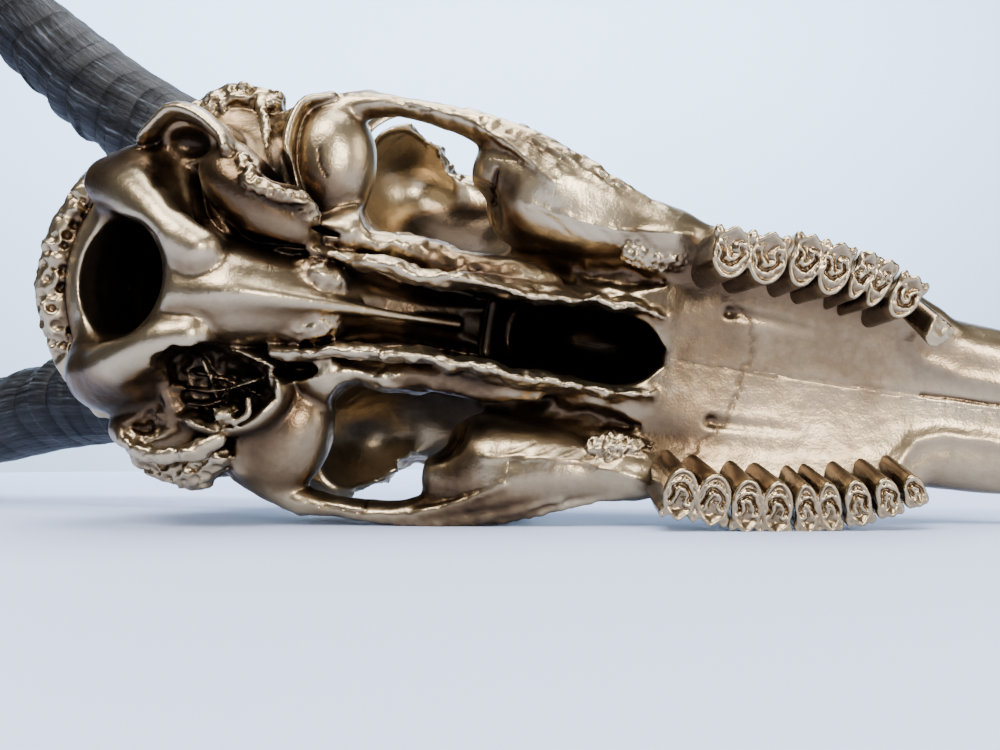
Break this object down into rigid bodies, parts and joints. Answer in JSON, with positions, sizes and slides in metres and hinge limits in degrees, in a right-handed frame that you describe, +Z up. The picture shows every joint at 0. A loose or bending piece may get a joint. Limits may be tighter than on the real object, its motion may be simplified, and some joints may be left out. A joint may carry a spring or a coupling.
{
  "type": "gilded blesbok skull",
  "caption": "Gilded blesbok skull with bare ringed horns and worn cheek teeth, lying on its left side with the palate to the viewer.",
  "frame": {"origin": "middle of the footprint box, at the level of the surface that the skull lies on", "axes": "+X along the longest side of the box, towards the nose; +Y towards the horn tips; +Z up from the surface"},
  "size_m": [0.5406, 0.4016, 0.3109],
  "materials": {
    "gilt_bone": "sprayed champagne gold over bone, satin with bright ridges and brown hollows",
    "gilt_teeth": "sprayed champagne gold over enamel, glossier than the bone",
    "horn_sheath": "bare dark grey horn with fine lengthwise grain and dusty rings"
  },
  "bodies": {
    "root": {"occipital_bone": "gilt_bone", "braincase": "gilt_bone", "frontal_bone": "gilt_bone", "zygomatic_arch_left": "gilt_bone", "zygomatic_arch_right": "gilt_bone", "maxilla_left": "gilt_bone", "maxilla_right": "gilt_bone", "nasal_left": "gilt_bone", "nasal_right": "gilt_bone", "premaxilla_left": "gilt_bone", "premaxilla_right": "gilt_bone", "horn_left": "horn_sheath", "horn_right": "horn_sheath", "tooth_m3_left": "gilt_teeth", "tooth_m2_left": "gilt_teeth", "tooth_m1_left": "gilt_teeth", "tooth_p4_left": "gilt_teeth", "tooth_p3_left": "gilt_teeth", "tooth_p2_left": "gilt_teeth", "tooth_m3_right": "gilt_teeth", "tooth_m2_right": "gilt_teeth", "tooth_m1_right": "gilt_teeth", "tooth_p4_right": "gilt_teeth", "tooth_p3_right": "gilt_teeth"}
  },
  "joints": []
}
